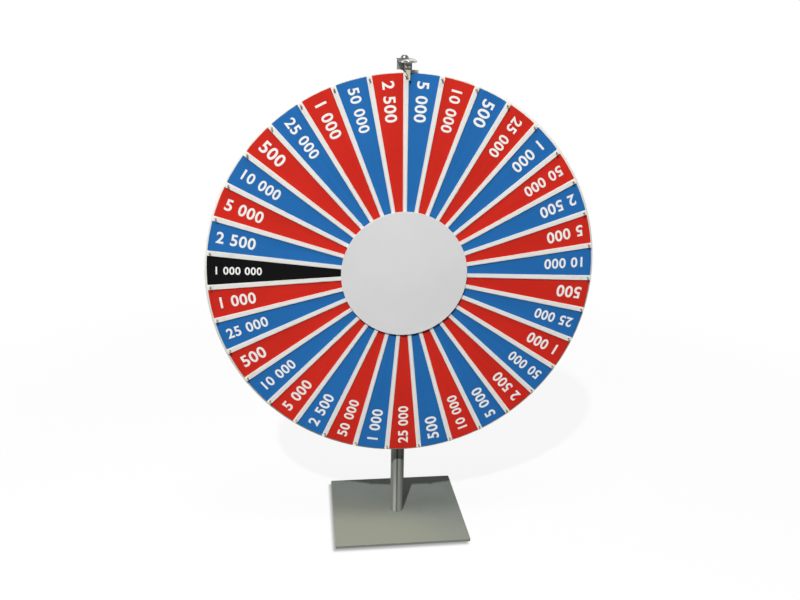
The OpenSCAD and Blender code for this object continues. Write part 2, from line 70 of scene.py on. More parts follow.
def solids_of(name):
    """Points of each separate solid of a CAD node."""
    welded = bmesh.new()
    welded.from_mesh(nodes[name].data)
    bmesh.ops.remove_doubles(welded, verts=welded.verts, dist=WELD_DISTANCE)
    groups = []
    for first in welded.verts:
        if first.tag:
            continue
        first.tag = True
        growing = [first]
        group = []
        while growing:
            point = growing.pop()
            group.append(point.co.copy())
            for edge in point.link_edges:
                other = edge.other_vert(point)
                if not other.tag:
                    other.tag = True
                    growing.append(other)
        groups.append(group)
    welded.free()
    return groups


def angle_on_wheel(point):
    """Clockwise from the top, seen from the front."""
    return math.atan2(point.x, point.z - AXIS_Z)


def middle(points):
    """Middle of the points' box."""
    low = Vector(tuple(min(p[i] for p in points) for i in range(3)))
    high = Vector(tuple(max(p[i] for p in points) for i in range(3)))
    return (low + high) / 2


# The divider at the top, from which the panels are counted
FIRST_DIVIDER = min((angle_on_wheel(middle(points)) for points in solids_of("pegs")), key=abs)

# Camera, at the photograph's place
IMAGE_WIDTH_PX = 800
FOCAL_LENGTH_PX = 780.06
SENSOR_WIDTH_MM = 36
CAMERA_AT = Vector((-0.2241, -1.7808, 1.1179))
CAMERA_YAW = math.radians(7.153)
CAMERA_PITCH = math.radians(16.794)
CAMERA_ROLL = math.radians(1.031)


def make_camera():
    """Camera that sees the part as the photograph does."""
    ahead = Vector((
        math.sin(CAMERA_YAW) * math.cos(CAMERA_PITCH),
        math.cos(CAMERA_YAW) * math.cos(CAMERA_PITCH),
        -math.sin(CAMERA_PITCH),
    ))
    level = Vector((math.cos(CAMERA_YAW), -math.sin(CAMERA_YAW), 0))
    upright = level.cross(ahead)
    right = level * math.cos(CAMERA_ROLL) + upright * math.sin(CAMERA_ROLL)
    up = upright * math.cos(CAMERA_ROLL) - level * math.sin(CAMERA_ROLL)
    data = bpy.data.cameras.new("camera")
    data.sensor_fit = "HORIZONTAL"
    data.sensor_width = SENSOR_WIDTH_MM
    data.lens = FOCAL_LENGTH_PX * SENSOR_WIDTH_MM / IMAGE_WIDTH_PX
    camera = bpy.data.objects.new("camera", data)
    turn = Matrix((right, up, -ahead)).transposed().to_4x4()
    camera.matrix_world = Matrix.Translation(CAMERA_AT) @ turn
    bpy.context.scene.collection.objects.link(camera)
    bpy.context.scene.camera = camera


# Shader maths, with the places of the colour sockets on a Mix node
MIX_SHARE = 0
MIX_FIRST = 6
MIX_SECOND = 7
MIX_RESULT = 2


class Wire:
    """A socket of a node tree that takes part in Python arithmetic."""

    def __init__(self, tree, socket):
        self.tree = tree
        self.socket = socket

    def maths(self, operation, first, second=0.0):
        return self.tree.add("ShaderNodeMath", {"operation": operation}, {0: first, 1: second})

    def __add__(self, other):
        return self.maths("ADD", self, other)

    def __radd__(self, other):
        return self.maths("ADD", other, self)

    def __sub__(self, other):
        return self.maths("SUBTRACT", self, other)

    def __rsub__(self, other):
        return self.maths("SUBTRACT", other, self)

    def __mul__(self, other):
        return self.maths("MULTIPLY", self, other)

    def __rmul__(self, other):
        return self.maths("MULTIPLY", other, self)

    def __truediv__(self, other):
        return self.maths("DIVIDE", self, other)

    def __rtruediv__(self, other):
        return self.maths("DIVIDE", other, self)

    def __pow__(self, other):
        return self.maths("POWER", self, other)

    def __rpow__(self, other):
        return self.maths("POWER", other, self)

    def __abs__(self):
        return self.maths("ABSOLUTE", self)

    def larger(self, other):
        return self.maths("MAXIMUM", self, other)

    def rounded(self):
        return self.maths("ROUND", self)

    def angle(self, other):
        return self.maths("ARCTAN2", self, other)

    def band(self, low, high):
        """0 below low, 1 above high and smooth between."""
        settings = {"interpolation_type": "SMOOTHSTEP"}
        inputs = {"Value": self, "From Min": low, "From Max": high}
        return self.tree.add("ShaderNodeMapRange", settings, inputs)


class NodeTree:
    """Adds nodes to one material's or world's tree."""

    def __init__(self, owner):
        owner.use_nodes = True
        self.nodes = owner.node_tree.nodes
        self.links = owner.node_tree.links

    def put(self, socket, value):
        """Links a wire to a socket, or sets the socket's own value."""
        if isinstance(value, Wire):
            self.links.new(value.socket, socket)
        else:
            socket.default_value = value

    def add(self, kind, settings, inputs, output=0):
        """One node, with its settings made first and then its sockets filled or linked."""
        made = self.nodes.new(kind)
        for name, value in settings.items():
            setattr(made, name, value)
        for name, value in inputs.items():
            self.put(made.inputs[name], value)
        return Wire(self, made.outputs[output])

    def place(self):
        """Place on the piece, in metres."""
        return self.add("ShaderNodeTexCoord", {}, {}, "Object")

    def parts(self, vector):
        split = self.add("ShaderNodeSeparateXYZ", {}, {"Vector": vector}).socket.node
        return [Wire(self, out) for out in split.outputs]

    def vector(self, x, y, z):
        return self.add("ShaderNodeCombineXYZ", {}, {"X": x, "Y": y, "Z": z})

    def stretched(self, vector, scale):
        settings = {"operation": "MULTIPLY"}
        return self.add("ShaderNodeVectorMath", settings, {0: vector, 1: scale})

    def noise(self, vector, scale=1.0, detail=2.0, roughness=0.5):
        inputs = {"Vector": vector, "Scale": scale, "Detail": detail, "Roughness": roughness}
        return self.add("ShaderNodeTexNoise", {}, inputs)

    def mix(self, share, first, second):
        """Colour that goes from first to second."""
        inputs = {MIX_SHARE: share, MIX_FIRST: first, MIX_SECOND: second}
        return self.add("ShaderNodeMix", {"data_type": "RGBA"}, inputs, MIX_RESULT)

    def bump(self, height, depth, strength=1.0):
        inputs = {"Height": height, "Distance": depth, "Strength": strength}
        return self.add("ShaderNodeBump", {}, inputs)

    def rays(self):
        """1 on rays from the camera, and 1 on rays that come by way of gloss or glass."""
        camera = self.add("ShaderNodeLightPath", {}, {}, "Is Camera Ray")
        paths = camera.socket.node.outputs
        gloss = Wire(self, paths["Is Glossy Ray"]).larger(Wire(self, paths["Is Transmission Ray"]))
        return camera, gloss


def srgb(red, green, blue):
    """Linear colour of an 8-bit sRGB one."""
    def linear(value):
        share = value / 255
        return share / 12.92 if share <= 0.04045 else ((share + 0.055) / 1.055) ** 2.4
    return (linear(red), linear(green), linear(blue), 1.0)


class Finish(NodeTree):
    """A material with one Principled shader."""

    def __init__(self, name):
        self.material = bpy.data.materials.new(name)
        super().__init__(self.material)
        self.shader = self.nodes["Principled BSDF"]

    def set(self, **values):
        for name, value in values.items():
            self.put(self.shader.inputs[name.replace("_", " ")], value)


# Finishes: where painted light and shade start and end, and angles round the post from its front to the
# right
SEAM_ANGLE = math.radians(-8)
HIGHLIGHT_ANGLE = math.radians(-25)
POST_HIGHLIGHT_BELOW = (40 * MM, 170 * MM)
POST_SHADE_ABOVE = (60 * MM, 170 * MM)
POST_RIGHT_SHADE_BELOW = (250 * MM, 400 * MM)
FRONT_LIGHT_EDGES = (-110 * MM, 60 * MM)
FRONT_LIGHT_SLANT = 0.3
REAR_SHADE_EDGES = (-62 * MM, -32 * MM)
REAR_SHADE_SLANT = 2
FLAKE_SCALE = 2600
TOOL_MARKS = 1800


def wheel_radius(f, at):
    """Distance from the wheel's axis."""
    x, _, z = f.parts(at)
    return (x ** 2 + (z - AXIS_Z) ** 2) ** 0.5


def plate_enamel():
    """Silver-grey enamel with flake and scuffs: painted light makes the front paler, with a painted
    highlight on the edges and painted shade on the upright sides.
    """
    f = Finish("plate_enamel")
    at = f.place()
    cloud = f.noise(at, scale=9, detail=3)
    flake = f.noise(at, scale=FLAKE_SCALE, detail=1)
    scuff = f.noise(f.stretched(at, (26, 90, 60)), detail=5, roughness=0.65).band(0.62, 0.74)
    x, y, _ = f.parts(at)
    half_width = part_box("base_plate")[1].x
    # Painted light: a paler, warmer tint towards the front, weaker towards the right
    painted_light_front = 1 - (y + x * FRONT_LIGHT_SLANT).band(*FRONT_LIGHT_EDGES)
    painted_light_front = painted_light_front * (1 - x.band(0.0, half_width) * 0.4)
    plain_tone = f.mix(cloud.band(0.3, 0.7), srgb(116, 122, 117), srgb(122, 128, 123))
    tint = f.mix(painted_light_front, plain_tone, srgb(144, 146, 132))
    speckled = f.mix(flake.band(0.5, 0.72) * 0.3, tint, srgb(168, 170, 161))
    upward = abs(f.parts(f.add("ShaderNodeNewGeometry", {}, {}, "Normal"))[2])
    # Painted highlight: the rounded edges between top and sides are lightened
    edge = 1 - upward.band(0.88, 0.98)
    # Painted shade: upright faces are darkened
    side = 1 - upward.band(0.1, 0.4)
    marked = f.mix(scuff * 0.2, speckled, srgb(154, 156, 149))
    painted_light = f.mix(edge, marked, srgb(226, 227, 220))
    f.set(Base_Color=f.mix(side, painted_light, srgb(136, 138, 130)))
    f.set(Roughness=0.42 + cloud * 0.1 + scuff * 0.12)
    f.set(Specular_IOR_Level=0.03)
    f.set(Normal=f.bump(f.noise(at, scale=900), depth=0.04 * MM, strength=0.5))
    return f.material


def post_enamel():
    """Satin silver enamel on welded tube with lines and a dark seam; a highlight stripe and shade on the
    flanks, the right side and the seam's top are painted in.
    """
    f = Finish("post_enamel")
    at = f.place()
    streak = f.noise(f.stretched(at, (900, 900, 5)), detail=4, roughness=0.6)
    handled = f.noise(at, scale=14, detail=4, roughness=0.6).band(0.45, 0.75)
    flake = f.noise(at, scale=FLAKE_SCALE, detail=1)
    x, y, z = f.parts(at)
    around = x.angle(0 - y)
    seam = 1 - abs(around - SEAM_ANGLE).band(0.08, 0.2)
    # Painted highlight: a bright stripe left of the front, low on the post
    painted_light = (1 - abs(around - HIGHLIGHT_ANGLE).band(0.08, 0.42)) * (1 - z.band(*POST_HIGHLIGHT_BELOW))
    # Painted shade: the tube darkens towards its flanks
    painted_shade_flanks = abs(around).band(0.35, 1.1) * (1 - abs(around).band(1.6, 2.4))
    tint = f.mix(streak.band(0.3, 0.7), srgb(136, 139, 133), srgb(152, 154, 148))
    speckled = f.mix(flake.band(0.5, 0.72) * 0.25, tint, srgb(184, 186, 180))
    wear_and_painted_light = f.mix(painted_light * 0.7, speckled, srgb(190, 192, 186))
    painted_shade_colour = srgb(98, 100, 96)
    wear_and_painted_light = f.mix(painted_shade_flanks * 0.55, wear_and_painted_light, painted_shade_colour)
    # Painted shade: the right side is darkened above the foot
    above_foot = z.band(*POST_SHADE_ABOVE)
    painted_shade_right = around.band(0.25, 0.5) * above_foot * (1 - z.band(*POST_RIGHT_SHADE_BELOW))
    wear_and_painted_light = f.mix(painted_shade_right * 0.6, wear_and_painted_light, painted_shade_colour)
    # The seam is a dark line on the tube; above the foot it is painted darker still as shade
    seam_and_painted_shade = seam * (0.7 + above_foot * 0.3)
    f.set(Base_Color=f.mix(seam_and_painted_shade, wear_and_painted_light, srgb(88, 90, 87)))
    f.set(Roughness=0.3 + streak * 0.12 + handled * 0.1)
    f.set(Normal=f.bump(streak - seam, depth=0.03 * MM, strength=0.35))
    f.set(Specular_IOR_Level=0.04)
    return f.material


def scaled(colour, share):
    """Colour made darker or lighter."""
    return tuple(min(1.0, channel * share) for channel in colour[:3]) + (1.0,)


def drawn_steel(name, colour, rough, lines, painted_rear_shade=False):
    """Steel with fine lines along the way it was drawn, and if asked painted shade at the left rear."""
    f = Finish(name)
    at = f.place()
    streak = f.noise(f.stretched(at, lines), detail=4, roughness=0.6)
    handled = f.noise(at, scale=14, detail=4, roughness=0.6).band(0.45, 0.75)
    tint = f.mix(streak.band(0.3, 0.7), scaled(colour, 0.82), colour)
    roughness = rough + streak * 0.14 + handled * 0.08
    f.set(Metallic=1.0)
    if painted_rear_shade:
        # Painted shade: the left rear turns dark and dull
        x, y, _ = f.parts(at)
        rear_shade_mask = (y - x * REAR_SHADE_SLANT).band(*REAR_SHADE_EDGES)
        tint = f.mix(rear_shade_mask, tint, scaled(colour, 0.12))
        roughness = roughness + rear_shade_mask * 0.25
        f.set(Metallic=1 - rear_shade_mask * 0.9)
        f.set(Specular_IOR_Level=0.05)
    f.set(Base_Color=tint, Roughness=roughness)
    f.set(Normal=f.bump(streak, depth=0.03 * MM, strength=0.35))
    return f.material


def zinc_plating():
    """Bright zinc with the cloudy tints of passivation."""
    f = Finish("zinc_plating")
    at = f.place()
    cloud = f.noise(at, scale=160, detail=4, roughness=0.6)
    fine = f.noise(at, scale=1500)
    tint = f.mix(cloud.band(0.35, 0.65), srgb(186, 190, 196), srgb(204, 201, 190))
    f.set(Base_Color=f.mix(fine.band(0.4, 0.8) * 0.3, tint, srgb(150, 152, 154)))
    f.set(Metallic=1.0, Roughness=0.26 + cloud * 0.2)
    f.set(Normal=f.bump(fine, depth=0.02 * MM, strength=0.4))
    return f.material


def polished_steel():
    """Bearing steel with a slight haze."""
    f = Finish("polished_steel")
    at = f.place()
    haze = f.noise(at, scale=220, detail=3)
    f.set(Base_Color=f.mix(haze, srgb(196, 196, 196), srgb(214, 214, 212)))
    f.set(Metallic=1.0, Roughness=0.1 + haze * 0.1)
    return f.material


def turned_aluminium():
    """Cast and turned hub metal: rings from the lathe round the wheel's axis."""
    f = Finish("turned_aluminium")
    at = f.place()
    y = f.parts(at)[1]
    rings = f.noise(f.vector(wheel_radius(f, at) * TOOL_MARKS, y * TOOL_MARKS, 0.0))
    stain = f.noise(at, scale=60, detail=4, roughness=0.6)
    f.set(Base_Color=f.mix(stain.band(0.3, 0.7), srgb(176, 178, 178), srgb(198, 199, 197)))
    f.set(Metallic=1.0, Roughness=0.3 + rings * 0.16)
    f.set(Normal=f.bump(rings, depth=0.04 * MM, strength=0.5))
    return f.material


def board_laminate():
    """White melamine with a fine pearl grain, rubbed marks and greyer hand marks near the rim."""
    f = Finish("board_laminate")
    at = f.place()
    grain = f.noise(at, scale=1300)
    smudge = f.noise(at, scale=11, detail=5, roughness=0.65).band(0.5, 0.75)
    handled = smudge * wheel_radius(f, at).band(WHEEL_R * 0.7, WHEEL_R)
    scratch = f.noise(f.stretched(at, (45, 45, 700))).band(0.72, 0.76)
    tint = f.mix(grain.band(0.35, 0.65), srgb(222, 221, 215), srgb(229, 228, 223))
    marked = f.mix(handled * 0.35, tint, srgb(186, 183, 174))
    f.set(Base_Color=f.mix(scratch * 0.2, marked, srgb(200, 198, 192)))
    f.set(Roughness=0.42 + grain * 0.1 + smudge * 0.1)
    f.set(Normal=f.bump(grain, depth=0.03 * MM, strength=0.4))
    return f.material


def edging_plastic():
    """Half-round white edging, a little yellowed, with lines along the rim."""
    f = Finish("edging_plastic")
    at = f.place()
    x, y, z = f.parts(at)
    around = x.angle(z - AXIS_Z)
    lines = f.noise(f.vector(around * 12, y * 1600, 0.0), detail=3)
    dirt = f.noise(at, scale=30, detail=4, roughness=0.65).band(0.52, 0.78)
    tint = f.mix(lines.band(0.3, 0.7), srgb(222, 220, 211), srgb(230, 229, 222))
    f.set(Base_Color=f.mix(dirt * 0.3, tint, srgb(190, 186, 172)))
    f.set(Roughness=0.34 + lines * 0.1 + dirt * 0.12)
    f.set(Normal=f.bump(lines, depth=0.04 * MM, strength=0.4))
    return f.material


def divider_plastic():
    """White extrusion: die lines run along each strip, and dust lies towards the rim."""
    f = Finish("divider_plastic")
    at = f.place()
    x, _, z = f.parts(at)
    radius = wheel_radius(f, at)
    turns = (x.angle(z - AXIS_Z) - FIRST_DIVIDER) / PITCH
    across = (turns - turns.rounded()) * PITCH * radius
    lines = f.noise(f.vector(across * 2400, radius * 5, turns.rounded()), detail=3)
    outer = radius.band(WHEEL_R * 0.5, WHEEL_R)
    dust = f.noise(at, scale=70, detail=4, roughness=0.6).band(0.5, 0.8) * outer
    tint = f.mix(lines.band(0.3, 0.7), srgb(232, 231, 225), srgb(239, 238, 233))
    f.set(Base_Color=f.mix(dust * 0.3, tint, srgb(180, 177, 166)))
    f.set(Roughness=0.38 + lines * 0.12)
    f.set(Normal=f.bump(lines, depth=0.05 * MM, strength=0.4))
    return f.material


def panel_print(name, colour, wear_and_painted_light):
    """Satin print on white sheet: the sheet's white core shows on the cut edges."""
    f = Finish(name)
    at = f.place()
    ink = f.noise(at, scale=700, detail=3, roughness=0.6)
    cloud = f.noise(at, scale=8, detail=3)
    rub = f.noise(f.stretched(at, (60, 60, 240)), detail=5, roughness=0.7).band(0.68, 0.8)
    each = f.add("ShaderNodeNewGeometry", {}, {}, "Random Per Island")
    facing = f.parts(f.add("ShaderNodeNewGeometry", {}, {}, "Normal"))[1]
    shade = cloud.band(0.25, 0.75) * 0.5 + each * 0.3 + ink * 0.2
    printed = f.mix(rub * 0.1, f.mix(shade, scaled(colour, 0.9), scaled(colour, 1.07)), wear_and_painted_light)
    cut_edge = 1 - abs(facing).band(0.2, 0.5)
    f.set(Base_Color=f.mix(cut_edge, printed, srgb(214, 213, 207)))
    f.set(Roughness=0.42 + ink * 0.12 + rub * 0.12)
    f.set(Normal=f.bump(ink, depth=0.03 * MM, strength=0.3))
    f.set(Specular_IOR_Level=0.07)
    return f.material


def cover_film():
    """Pale grey matt film on the hub's cover, with a faint weave and a few rub marks."""
    f = Finish("cover_film")
    at = f.place()
    fine = f.noise(at, scale=1500)
    cloud = f.noise(at, scale=7, detail=3)
    rub = f.noise(f.stretched(at, (300, 60, 40)), detail=4, roughness=0.7).band(0.7, 0.8)
    tint = f.mix(cloud.band(0.3, 0.7), srgb(215, 215, 215), srgb(220, 220, 220))
    f.set(Base_Color=f.mix(rub * 0.12, tint, srgb(190, 190, 189)))
    f.set(Roughness=0.5 + fine * 0.12)
    f.set(Normal=f.bump(fine, depth=0.03 * MM, strength=0.35))
    f.set(Specular_IOR_Level=0.3)
    return f.material


def cast_urethane():
    """Soft amber-grey cast tongue, with painted light that makes it paler near its tip."""
    f = Finish("cast_urethane")
    at = f.place()
    z = f.parts(at)[2]
    swirl = f.noise(f.stretched(at, (120, 120, 60)), detail=4, roughness=0.6)
    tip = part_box("flapper")[0].z
    # Painted light: the tip is paler
    painted_light = 1 - z.band(tip + 4 * MM, tip + 14 * MM)
    tint = f.mix(swirl.band(0.3, 0.7), srgb(194, 186, 158), srgb(205, 198, 174))
    f.set(Base_Color=f.mix(painted_light * 0.5, tint, srgb(220, 214, 196)))
    f.set(Roughness=0.36 + swirl * 0.15 + painted_light * 0.15)
    f.set(Normal=f.bump(swirl, depth=0.06 * MM, strength=0.4))
    f.set(Subsurface_Weight=0.15, Subsurface_Scale=2 * MM)
    return f.material


def foot_rubber():
    """Black rubber with a fine grain and dust."""
    f = Finish("foot_rubber")
    at = f.place()
    grain = f.noise(at, scale=900, detail=3)
    dust = f.noise(at, scale=60, detail=3).band(0.5, 0.8)
    f.set(Base_Color=f.mix(dust * 0.5, srgb(34, 34, 34), srgb(84, 82, 78)))
    f.set(Roughness=0.7 + grain * 0.15)
    f.set(Normal=f.bump(grain, depth=0.08 * MM, strength=0.5))
    return f.material


def number_vinyl():
    """White cut film for the panels' numbers."""
    f = Finish("number_vinyl")
    at = f.place()
    fine = f.noise(at, scale=1200)
    dirt = f.noise(at, scale=40, detail=4, roughness=0.6).band(0.55, 0.8)
    f.set(Base_Color=f.mix(dirt * 0.25, srgb(240, 240, 236), srgb(214, 212, 204)))
    f.set(Roughness=0.4 + fine * 0.1)
    f.set(Specular_IOR_Level=0.3)
    return f.material


# Meshes


def piece(name, shape, material, body):
    """Object made of a bmesh, with sharp edges kept sharp."""
    bmesh.ops.recalc_face_normals(shape, faces=shape.faces)
    mesh = bpy.data.meshes.new(name)
    shape.to_mesh(mesh)
    shape.free()
    mesh.shade_smooth()
    mesh.set_sharp_from_angle(angle=SHARP_SHADING)
    mesh.materials.append(material)
    made = bpy.data.objects.new(name, mesh)
    bpy.context.scene.collection.objects.link(made)
    if body:
        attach(made, body)
    return made


# Fasteners, as multiples of the thread's diameter, like the CAD's own
HEX_ACROSS = 1.7
HEX_HEAD_H = 0.64
HEX_STEP_H = 0.03
HEX_DISH_DEPTH = 0.02
BUTTON_D = 1.75
BUTTON_H = 0.55
COUNTERSUNK_D = 2
COUNTERSUNK_RIM_H = 0.02
COUNTERSUNK_PLAIN = 0.3
SOCKET_ACROSS = 0.66
SOCKET_DEPTH = 0.32
SOCKET_MOUTH_DEPTH = 0.04
SOCKET_POINT_DEPTH = 0.08
SOCKET_POINT_R = 0.05
NUT_MOUTH_R = 0.56
NUT_MOUTH_DEPTH = 0.06
TIP_R = 0.36
TIP_H = 0.08

# Radii as shares of a hexagon's width across its flats
CHAMFER_START = 0.48
HEX_STEP_R = 0.47
HEX_FACE_R = 0.46
HEX_DISH_R = 0.3
SOCKET_MOUTH_R = 0.62

# Radii as shares of a head's radius, and the heights at which a dome's rings lie
BUTTON_FOOT_R = 0.96
BUTTON_DOME = 0.9
DOME_HEIGHTS = (0.12, 0.3, 0.5, 0.7, 0.85, 0.95, 1.0)
COUNTERSUNK_RIM_R = 0.97
COUNTERSUNK_FACE_R = 0.95

# Threads, meshes and the ways that fasteners point
THREAD_DEPTH = 0.55
RINGS_PER_TURN = 8
LATHE_STEPS = 48
CHAMFER = math.tan(math.radians(30))
ARM_SLOPE = math.radians(5)
UP = Matrix.Identity(3)
SLOPE = Matrix.Rotation(ARM_SLOPE, 3, "X")
FRONT = Matrix((Vector((1, 0, 0)), Vector((0, 0, 1)), Vector((0, -1, 0)))).transposed()
REAR = Matrix((Vector((1, 0, 0)), Vector((0, 0, -1)), Vector((0, 1, 0)))).transposed()


def value_at(given, angle):
    """A number, or what a function gives at the angle."""
    return given(angle) if callable(given) else given


def lathed(shape, rings, place, start=0.0, tube=False):
    """Adds rings round an axis to a mesh. A ring is a radius and a height, or functions of the angle."""
    loops = []
    for radius, height in rings:
        loop = []
        for k in range(LATHE_STEPS):
            angle = start + FULL_TURN * k / LATHE_STEPS
            r = value_at(radius, angle)
            at = Vector((r * math.cos(angle), r * math.sin(angle), value_at(height, angle)))
            loop.append(shape.verts.new(place @ at))
        loops.append(loop)
    following = loops[1:] + loops[:1] if tube else loops[1:]
    for low, high in zip(loops, following):
        for k in range(LATHE_STEPS):
            n = (k + 1) % LATHE_STEPS
            shape.faces.new((low[k], low[n], high[n], high[k]))
    if not tube:
        shape.faces.new(loops[0][::-1])
        shape.faces.new(loops[-1])


def hexagon(across, start):
    """Radius of a hexagon with a corner at the start angle."""
    def radius(angle):
        return across / 2 / math.cos((angle - start) % (math.pi / 3) - math.pi / 6)
    return radius


def chamfered(across, start, level, direction):
    """Height of a hexagon's chamfered edge, which dips at the corners."""
    corner = hexagon(across, start)
    return lambda angle: level - direction * CHAMFER * (corner(angle) - across * CHAMFER_START)


def thread_rings(r, pitch, low, high):
    """Rings of a screw thread that runs out at both ends."""
    def crest(z, depth):
        return lambda angle: r - depth * abs(2 * ((z / pitch - angle / FULL_TURN) % 1) - 1)
    count = round((high - low) / pitch * RINGS_PER_TURN)
    rings = []
    for i in range(count + 1):
        z = low + (high - low) * i / count
        run_out = min(1.0, (z - low) / pitch, (high - z) / pitch)
        rings.append((crest(z, THREAD_DEPTH * pitch * run_out), z))
    return rings


def seat(points, axes):
    """Where a fastener sits: its place with Z along its axis, its length and a corner's angle."""
    local = [axes.inverted() @ p for p in points]
    centre = middle(local)
    low = min(p.z for p in local)
    high = max(p.z for p in local)
    far = max(local, key=lambda p: round((p.x - centre.x) ** 2 + (p.y - centre.y) ** 2, 9))
    corner = math.atan2(far.y - centre.y, far.x - centre.x)
    place = axes.to_4x4() @ Matrix.Translation((centre.x, centre.y, low))
    return place, high - low, corner


def shank_rings(d, pitch, length, plain):
    """Threaded shank from its chamfered tip to where the head starts."""
    tip = d * TIP_H
    rings = [(d * TIP_R, 0.0), (d / 2, tip)]
    rings += thread_rings(d / 2, pitch, tip, length - plain)
    rings.append((d / 2, length))
    return rings


def hex_bolt(shape, points, axes, d, pitch, plain):
    place, length, corner = seat(points, axes)
    across = HEX_ACROSS * d
    under = length - HEX_HEAD_H * d
    flat = hexagon(across, corner)
    rings = shank_rings(d, pitch, under, plain)
    rings.append((across * HEX_STEP_R, under))
    rings.append((flat, under + d * HEX_STEP_H))
    rings.append((flat, chamfered(across, corner, length, 1)))
    rings.append((across * HEX_FACE_R, length))
    rings.append((across * HEX_DISH_R, length - d * HEX_DISH_DEPTH))
    lathed(shape, rings, place, corner)


def hex_nut(shape, points, axes, d):
    place, length, corner = seat(points, axes)
    across = HEX_ACROSS * d
    flat = hexagon(across, corner)
    rings = [
        (d / 2, d * NUT_MOUTH_DEPTH),
        (d * NUT_MOUTH_R, 0.0),
        (across * HEX_FACE_R, 0.0),
        (flat, chamfered(across, corner, 0.0, -1)),
        (flat, chamfered(across, corner, length, 1)),
        (across * HEX_FACE_R, length),
        (d * NUT_MOUTH_R, length),
        (d / 2, length - d * NUT_MOUTH_DEPTH),
    ]
    lathed(shape, rings, place, corner, tube=True)


def socket_rings(d, top):
    """Hexagon socket in a screw's head."""
    across = SOCKET_ACROSS * d
    floor = top - SOCKET_DEPTH * d
    socket = hexagon(across, 0.0)
    return [
        (across * SOCKET_MOUTH_R, top),
        (socket, top - d * SOCKET_MOUTH_DEPTH),
        (socket, floor),
        (d * SOCKET_POINT_R, floor - d * SOCKET_POINT_DEPTH),
    ]


def button_screw(shape, points, axes, d, pitch, plain):
    place, length, _ = seat(points, axes)
    head_r = BUTTON_D * d / 2
    head_h = BUTTON_H * d
    under = length - head_h
    rings = shank_rings(d, pitch, under, plain)
    rings.append((head_r * BUTTON_FOOT_R, under))
    for share in DOME_HEIGHTS:
        dome = math.sqrt(1 - (BUTTON_DOME * share) ** 2)
        rings.append((head_r * dome, under + head_h * share))
    lathed(shape, rings + socket_rings(d, length), place)


def countersunk_screw(shape, points, axes, d, pitch):
    place, length, _ = seat(points, axes)
    head_r = d * COUNTERSUNK_D / 2
    head_h = head_r - d / 2
    rings = shank_rings(d, pitch, length - head_h, d * COUNTERSUNK_PLAIN)
    rings.append((head_r * COUNTERSUNK_RIM_R, length - d * COUNTERSUNK_RIM_H))
    rings.append((head_r * COUNTERSUNK_FACE_R, length))
    lathed(shape, rings + socket_rings(d, length), place)


def fasteners(name, node, body, material, make, axes, **sizes):
    """One detailed fastener for each solid of a CAD node, in its place."""
    shape = bmesh.new()
    for points in solids_of(node):
        make(shape, points, axes, **sizes)
    made = piece(name, shape, material, body)
    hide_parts(node)


# Numbers on the panels, with a height for each count of characters
PANEL_FIGURES = ("5 000", "10 000", "500", "25 000", "1 000", "50 000", "2 500")
BLACK_PANEL_FIGURES = "1 000 000"
FIGURE_H = {3: 27 * MM, 5: 25 * MM, 6: 23 * MM, 9: 17 * MM}
FIGURE_SHARE = 0.7
FIGURE_BOLD = 0.022
FIGURE_SPACING = 1.08
FIGURE_CURVE_STEPS = 5
FILM_T = 0.12 * MM
FIGURES_START_R = WHEEL_R - 22 * MM


def figure_mesh(text, height):
    """Mesh of a number with its start and mid-height at the origin."""
    curve = bpy.data.curves.new("figures", "FONT")
    curve.body = text
    curve.size = height / FIGURE_SHARE
    curve.offset = curve.size * FIGURE_BOLD
    curve.space_character = FIGURE_SPACING
    curve.extrude = FILM_T / 2
    curve.resolution_u = FIGURE_CURVE_STEPS
    holder = bpy.data.objects.new("figures", curve)
    bpy.context.scene.collection.objects.link(holder)
    made = holder.evaluated_get(bpy.context.evaluated_depsgraph_get())
    mesh = bpy.data.meshes.new_from_object(made)
    bpy.data.objects.remove(holder)
    bpy.data.curves.remove(curve)
    mesh.transform(Matrix.Translation((0, -height / 2, FILM_T / 2)))
    return mesh


def panel_numbers():
    """Numbers that start at the rim and read inwards, with their tops clockwise."""
    black = angle_on_wheel(middle(solids_of("black_panel")[0]))
    black_index = math.floor((black - FIRST_DIVIDER) % FULL_TURN / PITCH)
    shape = bmesh.new()
    for i in range(PANEL_COUNT):
        text = BLACK_PANEL_FIGURES if i == black_index else PANEL_FIGURES[i % len(PANEL_FIGURES)]
        angle = FIRST_DIVIDER + (i + 0.5) * PITCH
        outward = Vector((math.sin(angle), 0, math.cos(angle)))
        clockwise = Vector((math.cos(angle), 0, -math.sin(angle)))
        turn = Matrix((-outward, clockwise, Vector((0, -1, 0)))).transposed().to_4x4()
        start = Vector((0, PANEL_FRONT, AXIS_Z)) + outward * FIGURES_START_R
        mesh = figure_mesh(text, FIGURE_H[len(text)])
        mesh.transform(Matrix.Translation(start) @ turn)
        shape.from_mesh(mesh)
        bpy.data.meshes.remove(mesh)
    made = piece("panel_numbers", shape, number_vinyl(), "wheel")


# Flapper
FLAPPER_ROWS = 22
FLAPPER_ROUNDING = 0.35 * MM


